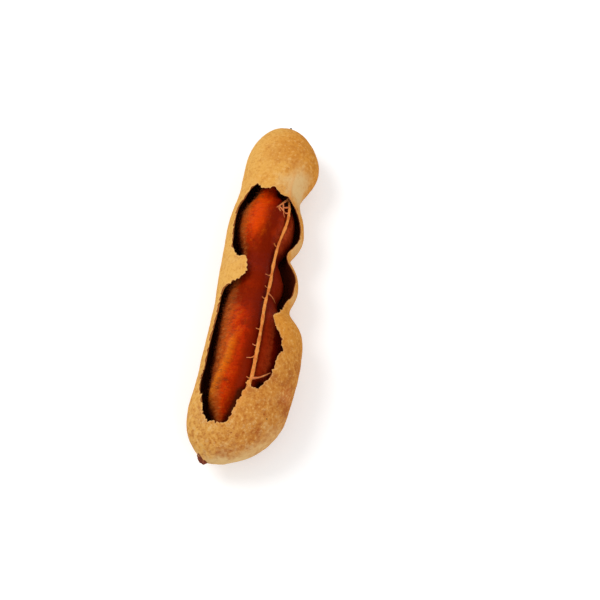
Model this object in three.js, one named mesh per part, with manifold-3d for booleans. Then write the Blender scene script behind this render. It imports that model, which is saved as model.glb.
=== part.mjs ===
// A ripe tamarind pod lying on its side: a brittle shell broken open along the top, the sticky
// lobed pulp inside it, the main vein that crosses the opening, and the woody stub of its stalk.
// Units are millimetres. +Y runs from the stalk end to the tip, +Z is up, and the pod rests on Z = 0.
import * as THREE from 'three';
import { mergeVertices } from 'three/addons/utils/BufferGeometryUtils.js';
import Module from 'manifold-3d';

const wasm = await Module();
wasm.setup();

// Driving dimensions
const podLength = 118.5;
const shellWall = 1.1;
const fitGap = 0.35;             // air between neighbouring pieces
const creaseFade = 1.6;          // how quickly a crease fades round the section

// How finely each piece is meshed: [around, along].
const fineness = {
  shell: [40, 56],
  hollow: [30, 42],
  pulp: [32, 44],
  strand: [8, 56],
  sideVein: [6, 4],
  stub: [16, 3],
  style: [8, 1],
  opening: 110,
  search: 200,     // places tried along the strand for the root of a side vein
};
// A form's rings are spread evenly by this share, and crowd towards the ends for the rest.
const evenShare = 0.3;

// Cross-sections along the pod. along: 0 at the stalk end, 1 at the tip. centre: sideways place of
// the section's middle. wide, high: its half width and half height. mid: height of its middle.
const shellForm = {
  from: 0.006,
  to: 1,
  startCap: 17,
  endCap: 16,
  sections: [
    { along: 0.00, centre: 0.5, wide: 15.2, high: 11.0, mid: 11.4 },
    { along: 0.12, centre: 3.7, wide: 14.7, high: 12.4, mid: 12.2 },
    { along: 0.29, centre: 5.2, wide: 15.2, high: 13.0, mid: 12.6 },
    { along: 0.42, centre: 4.5, wide: 14.2, high: 11.9, mid: 12.2 },
    { along: 0.52, centre: 2.5, wide: 12.8, high: 11.2, mid: 11.8 },
    { along: 0.68, centre: 1.8, wide: 12.3, high: 10.9, mid: 11.2 },
    { along: 0.88, centre: 2.9, wide: 12.0, high: 10.6, mid: 10.2 },
    { along: 1.00, centre: 1.9, wide: 10.9, high: 9.8, mid: 10.3 },
  ],
  // Creases between the seeds: their depth on the right and left edges, and half their width.
  creases: [
    { along: 0.435, right: 4.2, left: 0.1, reach: 5.4 },
    { along: 0.593, right: 3.3, left: 0.2, reach: 4.3 },
    { along: 0.775, right: 3.9, left: 0.8, reach: 6.8 },
  ],
};
const pulpForm = {
  from: 0.058,
  to: 0.955,
  startCap: 19,
  endCap: 13,
  sections: [
    { along: 0.00, centre: 3.0, wide: 10.2, high: 9.4, mid: 11.2 },
    { along: 0.12, centre: 4.4, wide: 10.3, high: 10.2, mid: 11.7 },
    { along: 0.29, centre: 4.3, wide: 10.9, high: 10.7, mid: 12.1 },
    { along: 0.42, centre: 3.4, wide: 10.4, high: 9.8, mid: 11.7 },
    { along: 0.52, centre: 2.1, wide: 8.7, high: 9.1, mid: 11.3 },
    { along: 0.68, centre: 1.5, wide: 9.1, high: 8.8, mid: 10.7 },
    { along: 0.88, centre: 2.6, wide: 8.6, high: 8.5, mid: 9.8 },
    { along: 1.00, centre: 1.8, wide: 7.8, high: 7.6, mid: 9.8 },
  ],
  creases: [
    { along: 0.445, right: 3.2, left: 0.6, reach: 5.0 },
    { along: 0.578, right: 2.6, left: 2.8, reach: 5.0 },
    { along: 0.785, right: 3.8, left: 3.2, reach: 6.5 },
  ],
};

// The broken edge of the opening as [along, turn], where turn is in degrees from the top of the
// section, positive to the right. It goes up the left side from the stalk end and down the right.
const opening = [
  [0.187, 8], [0.155, 6], [0.130, 2], [0.105, 1], [0.084, -2], [0.076, -8], [0.076, -22],
  [0.084, -32], [0.105, -40], [0.145, -49], [0.168, -58], [0.195, -61], [0.225, -59], [0.310, -60],
  [0.380, -59.5], [0.428, -59.5], [0.450, -55.5], [0.462, -46], [0.472, -35], [0.483, -23],
  [0.500, -16], [0.520, -15], [0.540, -19], [0.544, -29], [0.558, -39], [0.590, -49.5],
  [0.630, -52], [0.665, -54.5], [0.708, -55], [0.732, -47], [0.757, -38], [0.772, -29],
  [0.760, -17], [0.767, -8], [0.770, 2], [0.756, 12], [0.750, 29], [0.741, 39], [0.704, 59],
  [0.670, 70], [0.638, 72], [0.609, 65.5], [0.586, 62.5], [0.562, 57.5], [0.541, 64], [0.524, 73],
  [0.500, 68.5], [0.477, 69.5], [0.456, 61], [0.432, 50], [0.400, 32], [0.378, 23.5], [0.350, 28],
  [0.315, 37], [0.290, 40], [0.272, 36], [0.240, 33], [0.210, 30.5], [0.190, 27], [0.170, 18],
  [0.176, 12],
];

// The main vein's middle line, from under the shell at the stalk end to under it at the tip.
const strandLine = [
  [7.2, -45.5, 21.6], [6.9, -41.5, 22.5], [6.8, -38.3, 22.9], [7.2, -35, 22.8], [7.3, -26.7, 22.9],
  [7.2, -18.4, 22.5], [6.8, -10.2, 21.2], [6.9, -2, 19.0], [6.7, 6, 17.9], [7.0, 13.8, 16.8],
  [8.3, 21.4, 16.9], [8.2, 26.4, 16.0], [7.1, 32.4, 14.4], [6.4, 40, 16.3],
];
const strandWide = [0.62, 0.38];   // half width at the stalk end and at the tip
const strandThick = 0.55;         // thickness over width

// Side veins: y where one leaves the strand, and its run in x, y and z.
const sideVeins = [
  { y: -35.2, run: [4.6, 3.1, -1.9] },
  { y: -35.0, run: [-1.6, 0.2, 0.1] },
  { y: -27.6, run: [-2.8, -1.3, 0.2] },
  { y: -24.6, run: [-1.8, 0.2, 0.1] },
  { y: -18.0, run: [-1.6, -0.3, 0.1] },
  { y: -7.1, run: [-1.5, 0.1, 0.1] },
  { y: -5.1, run: [2.4, -0.8, -1.2] },
  { y: -2.8, run: [-1.4, 0.1, 0.1] },
  { y: 2.4, run: [-1.7, -1.1, 0.1] },
  { y: 12.8, run: [-1.4, 0.1, 0.1] },
  { y: 25.9, run: [-2.8, -1.2, 0.1] },
];
const sideVein = { radius: 0.3, taper: 0.4, bow: 0.25 };   // bow: how far its middle arches up

// The stalk stub: the middle of its foot and of its broken end, with the radius at each.
const stub = { foot: [-1.3, -55.0, 8.7], end: [-4.3, -58.3, 10.1], footRadius: 2.2, endRadius: 1.9 };
const neck = { at: [-1.5, -57.9, 9.0], rise: 1.2, reach: 3.0 };
// The dried style point at the tip.
const style = { foot: [2.9, 57.0, 10.6], end: [3.1, 60.0, 11.2], radius: 1.1, taper: 0.75 };

// A smooth value between the sections at any place along the pod.
function between(sections, key, along) {
  const last = sections.length - 2;
  const slope = (i) => (sections[i + 1][key] - sections[i][key]) / gap(i);
  const gap = (i) => sections[i + 1].along - sections[i].along;
  const lean = (i) => {
    if (i === 0) return slope(0);
    if (i > last) return slope(last);
    return (slope(i - 1) * gap(i) + slope(i) * gap(i - 1)) / (gap(i) + gap(i - 1));
  };
  let i = 0;
  while (i < last && along > sections[i + 1].along) i += 1;
  const h = gap(i);
  const u = THREE.MathUtils.clamp((along - sections[i].along) / h, 0, 1);
  return (2 * u ** 3 - 3 * u ** 2 + 1) * sections[i][key] + (u ** 3 - 2 * u ** 2 + u) * h * lean(i)
    + (3 * u ** 2 - 2 * u ** 3) * sections[i + 1][key] + (u ** 3 - u ** 2) * h * lean(i + 1);
}

// How much of the full section is left in the round ends: 0 at the very end, 1 past the cap.
function capping(form, along, inset) {
  const fromStart = ((along - form.from) * podLength - inset) / (form.startCap - inset);
  const fromEnd = ((form.to - along) * podLength - inset) / (form.endCap - inset);
  const round = (u) => Math.sqrt(Math.max(0, 1 - Math.max(0, 1 - u) ** 2));
  return round(fromStart) * round(fromEnd);
}

// How deep the creases dent the skin at a place.
function dent(form, along, turn) {
  const rightward = (0.5 + 0.5 * Math.sin(turn)) ** creaseFade;
  const leftward = (0.5 - 0.5 * Math.sin(turn)) ** creaseFade;
  return form.creases.reduce((sum, crease) => {
    const near = Math.exp(-(((along - crease.along) * podLength / crease.reach) ** 2));
    return sum + near * (crease.right * rightward + crease.left * leftward);
  }, 0);
}

// A point on a form's skin, or inset under it. turn is in radians from the top, positive right.
function skinPoint(form, along, turn, inset = 0) {
  const wide = between(form.sections, 'wide', along) - inset;
  const high = between(form.sections, 'high', along) - inset;
  const size = capping(form, along, inset) * (1 - dent(form, along, turn) / wide);
  return new THREE.Vector3(
    between(form.sections, 'centre', along) + wide * size * Math.sin(turn),
    (along - 0.5) * podLength,
    between(form.sections, 'mid', along) + high * size * Math.cos(turn),
  );
}

// Moves every vertex of a geometry by a function of its place.
function moulded(geometry, place) {
  const position = geometry.getAttribute('position');
  const point = new THREE.Vector3();
  for (let i = 0; i < position.count; i += 1) {
    point.copy(place(point.fromBufferAttribute(position, i)));
    position.setXYZ(i, point.x, point.y, point.z);
  }
  return geometry;
}

// A unit sphere with its poles on Y, pulled into a form. Its rings crowd a little at the ends.
function formGeometry(form, [around, rings], inset = 0) {
  const from = form.from + inset / podLength;
  const to = form.to - inset / podLength;
  return moulded(new THREE.SphereGeometry(1, around, rings), (p) => {
    const even = 1 - Math.acos(THREE.MathUtils.clamp(p.y, -1, 1)) / Math.PI;
    const share = THREE.MathUtils.lerp((p.y + 1) / 2, even, evenShare);
    return skinPoint(form, from + (to - from) * share, Math.atan2(p.x, p.z), inset);
  });
}

function solidOf(geometry) {
  const bare = geometry.clone();
  bare.deleteAttribute('normal');
  bare.deleteAttribute('uv');
  const merged = mergeVertices(bare, 1e-4);
  const vertProperties = new Float32Array(merged.getAttribute('position').array);
  const triVerts = new Uint32Array(merged.getIndex().array);
  return new wasm.Manifold(new wasm.Mesh({ numProp: 3, vertProperties, triVerts }));
}

function geometryOf(solid) {
  const mesh = solid.getMesh();
  const geometry = new THREE.BufferGeometry();
  geometry.setAttribute('position', new THREE.BufferAttribute(mesh.vertProperties, 3));
  geometry.setIndex(new THREE.BufferAttribute(mesh.triVerts, 1));
  geometry.computeVertexNormals();
  return geometry;
}

// A round or flattened rod along a curve. radius(t) gives its half width, flat its thickness over width.
function rodGeometry(curve, radius, flat, [sides, steps]) {
  const up = new THREE.Vector3(0, 0, 1);
  const rod = new THREE.CylinderGeometry(1, 1, 1, sides, steps);
  return moulded(rod, (p) => {
    const t = p.y + 0.5;
    const along = curve.getTangentAt(t);
    const side = new THREE.Vector3().crossVectors(along, up).normalize();
    const top = new THREE.Vector3().crossVectors(side, along);
    const middle = curve.getPointAt(t);
    return middle.addScaledVector(side, p.x * radius(t)).addScaledVector(top, p.z * radius(t) * flat);
  });
}

const vectors = (points) => points.map((p) => new THREE.Vector3(...p));

// The cutter that breaks the shell open. It has three layers: under the skin, just over it, and high
// above the pod, so its walls stand square to the skin and then run straight up.
function openingCutter() {
  const reach = { in: 3, out: 1.5, top: 60 };
  const layers = { under: 0, over: 1, above: 2 };
  const corners = opening.map(([along, turn]) => new THREE.Vector3(turn / 180, along, 0));
  const rim = new THREE.CatmullRomCurve3(corners, true);
  const points = rim.getPoints(fineness.opening).slice(0, -1);
  const outline = new THREE.Shape(points.map((p) => new THREE.Vector2(p.x, p.y)));
  const extrusion = { depth: layers.above, steps: layers.above, bevelEnabled: false };
  const prism = new THREE.ExtrudeGeometry(outline, extrusion);
  return moulded(prism, (p) => {
    const turn = p.x * Math.PI;
    const foot = skinPoint(shellForm, p.y, turn);
    const out = new THREE.Vector3(Math.sin(turn), 0, Math.cos(turn));
    const layer = Math.round(p.z);
    if (layer === layers.under) return foot.addScaledVector(out, -reach.in);
    foot.addScaledVector(out, reach.out);
    return layer === layers.over ? foot : foot.setZ(reach.top);
  });
}

function strandCurve() {
  return new THREE.CatmullRomCurve3(vectors(strandLine));
}

function strandSolid(grow) {
  const curve = strandCurve();
  const radius = (t) => THREE.MathUtils.lerp(strandWide[0], strandWide[1], t) + grow;
  const flat = strandThick + grow;
  return solidOf(rodGeometry(curve, radius, flat, fineness.strand));
}

function sideVeinSolid({ y, run }, grow) {
  const points = strandCurve().getPoints(fineness.search);
  const root = points.reduce((best, p) => (Math.abs(p.y - y) < Math.abs(best.y - y) ? p : best));
  const tip = root.clone().add(new THREE.Vector3(...run));
  const bow = root.clone().lerp(tip, 0.5).add(new THREE.Vector3(0, 0, sideVein.bow));
  const curve = new THREE.CatmullRomCurve3([root, bow, tip]);
  const radius = (t) => sideVein.radius * (1 - sideVein.taper * t) + grow;
  return solidOf(rodGeometry(curve, radius, 1, fineness.sideVein));
}

function veinSolid(grow = 0) {
  return sideVeins.reduce((whole, vein) => whole.add(sideVeinSolid(vein, grow)), strandSolid(grow));
}

function stubSolid(grow = 0) {
  const curve = new THREE.LineCurve3(...vectors([stub.foot, stub.end]));
  const radius = (t) => THREE.MathUtils.lerp(stub.footRadius, stub.endRadius, t) + grow;
  return solidOf(rodGeometry(curve, radius, 1, fineness.stub));
}

function shellSolid() {
  const [neckAt] = vectors([neck.at]);
  const [foot, end] = vectors([stub.foot, stub.end]);
  const away = end.clone().sub(foot).normalize();
  const husk = moulded(formGeometry(shellForm, fineness.shell), (p) => {
    p.addScaledVector(away, neck.rise * Math.exp(-((p.distanceTo(neckAt) / neck.reach) ** 2)));
    return p.setZ(Math.max(p.z, 0));
  });
  const hollow = formGeometry(shellForm, fineness.hollow, shellWall);
  const point = new THREE.LineCurve3(...vectors([style.foot, style.end]));
  const nib = rodGeometry(point, (t) => style.radius * (1 - style.taper * t), 1, fineness.style);
  return solidOf(husk).add(solidOf(nib)).subtract(solidOf(hollow)).subtract(solidOf(openingCutter()))
    .subtract(stubSolid(fitGap));
}

function pulpSolid() {
  return solidOf(formGeometry(pulpForm, fineness.pulp)).subtract(veinSolid(fitGap));
}

function piece(name, solid, look) {
  const mesh = new THREE.Mesh(geometryOf(solid), new THREE.MeshStandardMaterial(look));
  mesh.name = name;
  return mesh;
}

const pod = new THREE.Group();
pod.add(
  piece('shell', shellSolid(), { color: 0xc98f47, roughness: 0.85, metalness: 0 }),
  piece('pulp', pulpSolid(), { color: 0x9a3008, roughness: 0.3, metalness: 0 }),
  piece('fibre_strand', veinSolid(), { color: 0xe09a50, roughness: 0.6, metalness: 0 }),
  piece('stalk_stub', stubSolid(), { color: 0x5a2c10, roughness: 0.9, metalness: 0 }),
);

// The origin is under the middle of the pod, on the surface that it rests on.
const middle = new THREE.Box3().setFromObject(pod).getCenter(new THREE.Vector3());
pod.position.set(-middle.x, -middle.y, 0);

export default pod;
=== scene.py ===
import math
import random
import bpy
import numpy as np
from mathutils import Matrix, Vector, kdtree, noise
from mathutils.bvhtree import BVHTree
from mathutils.geometry import delaunay_2d_cdt


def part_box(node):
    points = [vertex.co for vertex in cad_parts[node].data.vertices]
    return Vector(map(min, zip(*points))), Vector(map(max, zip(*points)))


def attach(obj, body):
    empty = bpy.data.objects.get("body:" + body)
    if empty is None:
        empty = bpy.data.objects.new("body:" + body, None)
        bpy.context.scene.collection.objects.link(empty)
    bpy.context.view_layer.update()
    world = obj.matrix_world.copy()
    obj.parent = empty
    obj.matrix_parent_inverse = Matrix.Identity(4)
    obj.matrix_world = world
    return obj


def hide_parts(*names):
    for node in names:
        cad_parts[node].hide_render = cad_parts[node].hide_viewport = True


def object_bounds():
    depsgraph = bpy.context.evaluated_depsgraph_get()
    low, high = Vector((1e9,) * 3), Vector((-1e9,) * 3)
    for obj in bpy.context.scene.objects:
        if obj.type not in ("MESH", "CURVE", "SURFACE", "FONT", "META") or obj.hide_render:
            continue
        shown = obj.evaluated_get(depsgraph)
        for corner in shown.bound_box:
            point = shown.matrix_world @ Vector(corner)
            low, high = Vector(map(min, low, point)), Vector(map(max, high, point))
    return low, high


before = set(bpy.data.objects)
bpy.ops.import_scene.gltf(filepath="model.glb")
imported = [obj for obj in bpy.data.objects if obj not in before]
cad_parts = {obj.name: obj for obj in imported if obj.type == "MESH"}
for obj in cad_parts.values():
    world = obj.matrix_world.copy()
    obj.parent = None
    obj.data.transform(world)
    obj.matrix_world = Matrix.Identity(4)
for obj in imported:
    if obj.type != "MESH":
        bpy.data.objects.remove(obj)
cadLow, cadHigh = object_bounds()
shellLow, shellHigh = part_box("shell")
pulpLow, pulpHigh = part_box("pulp")
mm = 0.001
print("tamarind pod: packed frame loaded, length", round((cadHigh - cadLow).y, 4))


# helpers that build node trees
class Flow:
    # a node's output, so that sums on values read as plain sums
    def __init__(self, bench, socket):
        self.bench = bench
        self.socket = socket

    def sum(self, operation, first, second=0.0):
        return self.bench.node("ShaderNodeMath", {"operation": operation}, {0: first, 1: second})

    def __add__(self, other):
        return self.sum("ADD", self, other)

    def __sub__(self, other):
        return self.sum("SUBTRACT", self, other)

    def __rsub__(self, other):
        return self.sum("SUBTRACT", other, self)

    def __mul__(self, other):
        return self.sum("MULTIPLY", self, other)

    def __truediv__(self, other):
        return self.sum("DIVIDE", self, other)

    __radd__ = __add__
    __rmul__ = __mul__

    # 0 below low, 1 above high, eased between them; low above high turns it round
    def eased(self, low, high):
        return self.bench.node("ShaderNodeMapRange", {"interpolation_type": "SMOOTHSTEP"},
                               {"Value": self, "From Min": low, "From Max": high})

    def other(self, name):
        return Flow(self.bench, self.socket.node.outputs[name])


class Bench:
    # makes and links the nodes of one tree
    def __init__(self, tree):
        self.tree = tree

    def node(self, kind, settings=None, values=None, result=0):
        made = self.tree.nodes.new(kind)
        for name, value in (settings or {}).items():
            if name != "stops":
                setattr(made, name, value)
                continue
            stops = made.color_ramp.elements
            while len(stops) < len(value):
                stops.new(0.5)
            for stop, (spot, colour) in zip(stops, value):
                stop.position = spot
                stop.color = colour
        for name, value in (values or {}).items():
            if isinstance(value, Flow):
                self.tree.links.new(value.socket, made.inputs[name])
            else:
                made.inputs[name].default_value = value
        return Flow(self, made.outputs[result]) if len(made.outputs) else made

    def blend(self, share, first, second):
        return self.node("ShaderNodeMix", {"data_type": "RGBA"}, {0: share, 6: first, 7: second}, 2)

    def mark(self, name):
        return self.node("ShaderNodeAttribute", {"attribute_name": name}, None, "Fac")

    def place(self):
        return self.node("ShaderNodeTexCoord", None, None, "Object")

    # metres along the pod, from its middle towards the tip
    def lengthways(self):
        return self.node("ShaderNodeSeparateXYZ", None, {0: self.place()}, "Y")

    # metres from a spot that is given in the form's millimetres
    def away(self, *spot):
        values = {0: self.place(), 1: tuple(inFrame(spot))}
        return self.node("ShaderNodeVectorMath", {"operation": "DISTANCE"}, values, "Value")

    # stretches the pattern: a higher number makes its grain finer that way
    def stretched(self, x, y, z):
        return self.node("ShaderNodeMapping", None, {"Vector": self.place(), "Scale": (x, y, z)})

    # cloudy noise whose lumps are about size millimetres across
    def cloud(self, size, seed, detail=3.0, rough=0.55, place=None):
        values = {"Vector": place or self.place(), "W": seed, "Scale": 1000.0 / size,
                  "Detail": detail, "Roughness": rough}
        return self.node("ShaderNodeTexNoise", {"noise_dimensions": "4D"}, values)

    def cells(self, size, seed):
        values = {"Vector": self.place(), "W": seed, "Scale": 1000.0 / size}
        return self.node("ShaderNodeTexVoronoi", {"voronoi_dimensions": "4D"}, values)

    def height(self, flow, depth):
        return self.node("ShaderNodeBump", None, {"Distance": depth * mm, "Height": flow})


class Paint(Bench):
    # one material on a Principled shader; fixed holds the shader's own constant values
    def __init__(self, name, fixed, colours=None):
        self.material = bpy.data.materials.new(name)
        self.material.use_nodes = True
        self.colours = colours
        super().__init__(self.material.node_tree)
        self.shader = self.tree.nodes["Principled BSDF"]
        for socket, value in fixed.items():
            self.shader.inputs[socket].default_value = value

    # lays the named colours over a base one after another, each by its own share
    def layered(self, base, *layers):
        for share, colour in layers:
            base = self.blend(share, base, self.colours[colour])
        return base

    def feed(self, **flows):
        for name, flow in flows.items():
            self.tree.links.new(flow.socket, self.shader.inputs[name.replace("_", " ")])
        return self.material


# a colour as it is seen on a screen, 0 to 255, turned into the shader's own linear values
def tone(*seen):
    return tuple((c / 255 / 12.92 if c <= 10 else ((c / 255 + 0.055) / 1.055) ** 2.4) for c in seen) + (1.0,)


# the pod's form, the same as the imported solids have, in millimetres
podForm = {
    "length": 118.5, "wall": 1.1, "from": 0.006, "to": 1.0, "startCap": 17, "endCap": 16,
    "sections": [  # along, centre, wide, high, mid
        (0.00, 0.5, 15.2, 11.0, 11.4), (0.12, 3.7, 14.7, 12.4, 12.2), (0.29, 5.2, 15.2, 13.0, 12.6),
        (0.42, 4.5, 14.2, 11.9, 12.2), (0.52, 2.5, 12.8, 11.2, 11.8), (0.68, 1.8, 12.3, 10.9, 11.2),
        (0.88, 2.9, 12.0, 10.6, 10.2), (1.00, 1.9, 10.9, 9.8, 10.3)],
    # along, depth on the right, depth on the left, reach
    "creases": [(0.435, 4.2, 0.1, 5.4), (0.593, 3.3, 0.2, 4.3), (0.775, 3.9, 0.8, 6.8)],
    "neckAt": (-1.5, -57.9, 9.0), "neckRise": 1.2, "neckReach": 3.0,
}
pulpForm = {
    "length": 118.5, "from": 0.058, "to": 0.955, "startCap": 19, "endCap": 13,
    "sections": [
        (0.00, 3.0, 10.2, 9.4, 11.2), (0.12, 4.4, 10.3, 10.2, 11.7), (0.29, 4.3, 10.9, 10.7, 12.1),
        (0.42, 3.4, 10.4, 9.8, 11.7), (0.52, 2.1, 8.7, 9.1, 11.3), (0.68, 1.5, 9.1, 8.8, 10.7),
        (0.88, 2.6, 8.6, 8.5, 9.8), (1.00, 1.8, 7.8, 7.6, 9.8)],
    "creases": [(0.445, 3.2, 0.6, 5.0), (0.578, 2.6, 2.8, 5.0), (0.785, 3.8, 3.2, 6.5)],
}


# a smooth value between the sections, anywhere along the pod
def between(form, column, along):
    at = np.array([section[0] for section in form["sections"]])
    value = np.array([section[column] for section in form["sections"]])
    gap = np.diff(at)
    slope = np.diff(value) / gap
    shared = (slope[:-1] * gap[1:] + slope[1:] * gap[:-1]) / (gap[1:] + gap[:-1])
    lean = np.concatenate(([slope[0]], shared, [slope[-1]]))
    i = np.clip(np.searchsorted(at, along) - 1, 0, len(gap) - 1)
    h = gap[i]
    u = np.clip((along - at[i]) / h, 0, 1)
    return ((2 * u**3 - 3 * u**2 + 1) * value[i] + (u**3 - 2 * u**2 + u) * h * lean[i]
            + (3 * u**2 - 2 * u**3) * value[i + 1] + (u**3 - u**2) * h * lean[i + 1])


# falls off like a bell over the reach
def bell(gap, reach):
    return np.exp(-((gap / reach) ** 2))


# how much of the full section is left in the round ends
def capping(form, along, inset):
    fromStart = ((along - form["from"]) * form["length"] - inset) / (form["startCap"] - inset)
    fromEnd = ((form["to"] - along) * form["length"] - inset) / (form["endCap"] - inset)
    roundOff = [np.sqrt(np.clip(1 - np.clip(1 - u, 0, None) ** 2, 0, None)) for u in (fromStart, fromEnd)]
    return roundOff[0] * roundOff[1]


def dent(form, along, turn):
    rightward = (0.5 + 0.5 * np.sin(turn)) ** 1.6
    leftward = (0.5 - 0.5 * np.sin(turn)) ** 1.6
    depth = np.zeros_like(along)
    for spot, right, left, reach in form["creases"]:
        depth += bell((along - spot) * form["length"], reach) * (right * rightward + left * leftward)
    return depth


# points on a form's skin in millimetres, or inset under it; turn is from the top, positive to the right
def skin(form, along, turn, inset=0.0):
    wide = between(form, 2, along) - inset
    high = between(form, 3, along) - inset
    size = capping(form, along, inset) * (1 - dent(form, along, turn) / wide)
    return np.stack((between(form, 1, along) + wide * size * np.sin(turn),
                     (along - 0.5) * form["length"],
                     between(form, 4, along) + high * size * np.cos(turn)), -1)


# the skin's outward direction, from its own slopes
def outward(form, along, turn, inset=0.0):
    step, margin = 0.004, (inset + 0.02) / form["length"]
    lowest, highest = form["from"] + margin, form["to"] - margin
    before, after = np.clip(along - step, lowest, highest), np.clip(along + step, lowest, highest)
    lengthways = skin(form, after, turn, inset) - skin(form, before, turn, inset)
    across = skin(form, along, turn + step, inset) - skin(form, along, turn - step, inset)
    normal = np.cross(across, lengthways)
    size = np.linalg.norm(normal, axis=-1, keepdims=True)
    poleward = np.zeros_like(normal)
    poleward[:, 1] = np.where(along > 0.5, 1.0, -1.0)
    return np.where(size > 1e-7, normal / np.maximum(size, 1e-9), poleward)


# rings crowd a little towards the round ends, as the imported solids' rings do
def ringShare(rings):
    i = np.arange(rings + 1) / rings
    return 0.3 * i + 0.7 * (0.5 - 0.5 * np.cos(math.pi * i))


# a smooth centripetal curve through points; closed joins its ends
def smoothCurve(points, steps, closed=False):
    points = np.array(points, float)
    if closed:
        chain = np.vstack((points[-1:], points, points[:2]))
    else:
        chain = np.vstack((2 * points[:1] - points[1:2], points, 2 * points[-1:] - points[-2:-1]))
    out = []
    for i in range(len(chain) - 3):
        a, b, c, d = chain[i:i + 4]
        t1, t2, t3 = np.cumsum([max(np.linalg.norm(q - p), 1e-6) ** 0.5 for p, q in ((a, b), (b, c), (c, d))])
        for k in range(steps):
            t = t1 + (t2 - t1) * k / steps
            ab, bc = a + (b - a) * t / t1, b + (c - b) * (t - t1) / (t2 - t1)
            cd = c + (d - c) * (t - t2) / (t3 - t2)
            abc, bcd = ab + (bc - ab) * t / t2, bc + (cd - bc) * (t - t1) / (t3 - t1)
            out.append(abc + (bcd - abc) * (t - t1) / (t2 - t1))
    if not closed:
        out.append(points[-1])
    return np.array(out)


# evenly spaced points along a chain of points
def evenly(points, step, closed=False):
    chain = np.vstack((points, points[:1])) if closed else np.array(points)
    run = np.concatenate(([0], np.cumsum(np.linalg.norm(np.diff(chain, axis=0), axis=1))))
    count = max(2, int(round(run[-1] / step)))
    at = np.linspace(0, run[-1], count + 1)
    if closed:
        at = at[:-1]
    return np.stack([np.interp(at, run, chain[:, k]) for k in range(chain.shape[1])], -1)


# layered noise at each point, size in millimetres, from about -1 to 1
def lumps(points, size, seed, octaves=2):
    shift = Vector((seed * 7.31, seed * 3.17, seed * 5.77))
    return np.array([noise.fractal(Vector(p) / size + shift, 1.0, 2.1, octaves) for p in points])


# the places of the form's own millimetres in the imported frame
formGrid = np.meshgrid(np.linspace(podForm["from"], podForm["to"], 401), np.linspace(-math.pi, math.pi, 181))
formSkin = skin(podForm, formGrid[0].ravel(), formGrid[1].ravel())
stub = {
    "foot": (-1.3, -55.0, 8.7), "end": (-4.3, -58.3, 10.1), "footRadius": 2.2, "endRadius": 1.9,
    "rings": 26, "columns": 40, "rough": 0.13, "ragged": 0.35, "seed": 61,
}
neckAt, neckAway = np.array(podForm["neckAt"]), np.subtract(stub["end"], stub["foot"])
neckAway /= np.linalg.norm(neckAway)


def neckLift(points):
    near = bell(np.linalg.norm(points - neckAt, axis=1), podForm["neckReach"])
    return points + neckAway * (podForm["neckRise"] * near)[:, None]


formSkin = neckLift(formSkin)
pulpMiddle = ((pulpForm["from"] + pulpForm["to"]) / 2 - 0.5) * pulpForm["length"]
shift = np.array(((shellLow.x + shellHigh.x) / 2 / mm - (formSkin[:, 0].min() + formSkin[:, 0].max()) / 2,
                  (pulpLow.y + pulpHigh.y) / 2 / mm - pulpMiddle, 0.0))
print("tamarind pod: form placed in the frame, shift", np.round(shift, 3))


def inFrame(points):
    return (np.asarray(points) + shift) * mm


# adds an object to the scene
def placed(name, data):
    thing = bpy.data.objects.new(name, data)
    bpy.context.scene.collection.objects.link(thing)
    return thing


def makePiece(name, points, faces, material, marks, crispFrom=None):
    mesh = bpy.data.meshes.new(name)
    mesh.from_pydata([tuple(p) for p in inFrame(points)], [], faces)
    for markName, values in marks.items():
        mark = mesh.attributes.new(markName, "FLOAT", "POINT")
        mark.data.foreach_set("value", np.asarray(values, np.float32))
    return finishPiece(name, mesh, material, crispFrom)


def finishPiece(name, mesh, material, crispFrom=None):
    mesh.materials.clear()
    mesh.materials.append(material)
    mesh.polygons.foreach_set("use_smooth", [True] * len(mesh.polygons))
    if crispFrom:
        mesh.set_sharp_from_angle(angle=math.radians(crispFrom))
    mesh.update()
    piece = placed(name, mesh)
    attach(piece, "root")
    return piece


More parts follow.
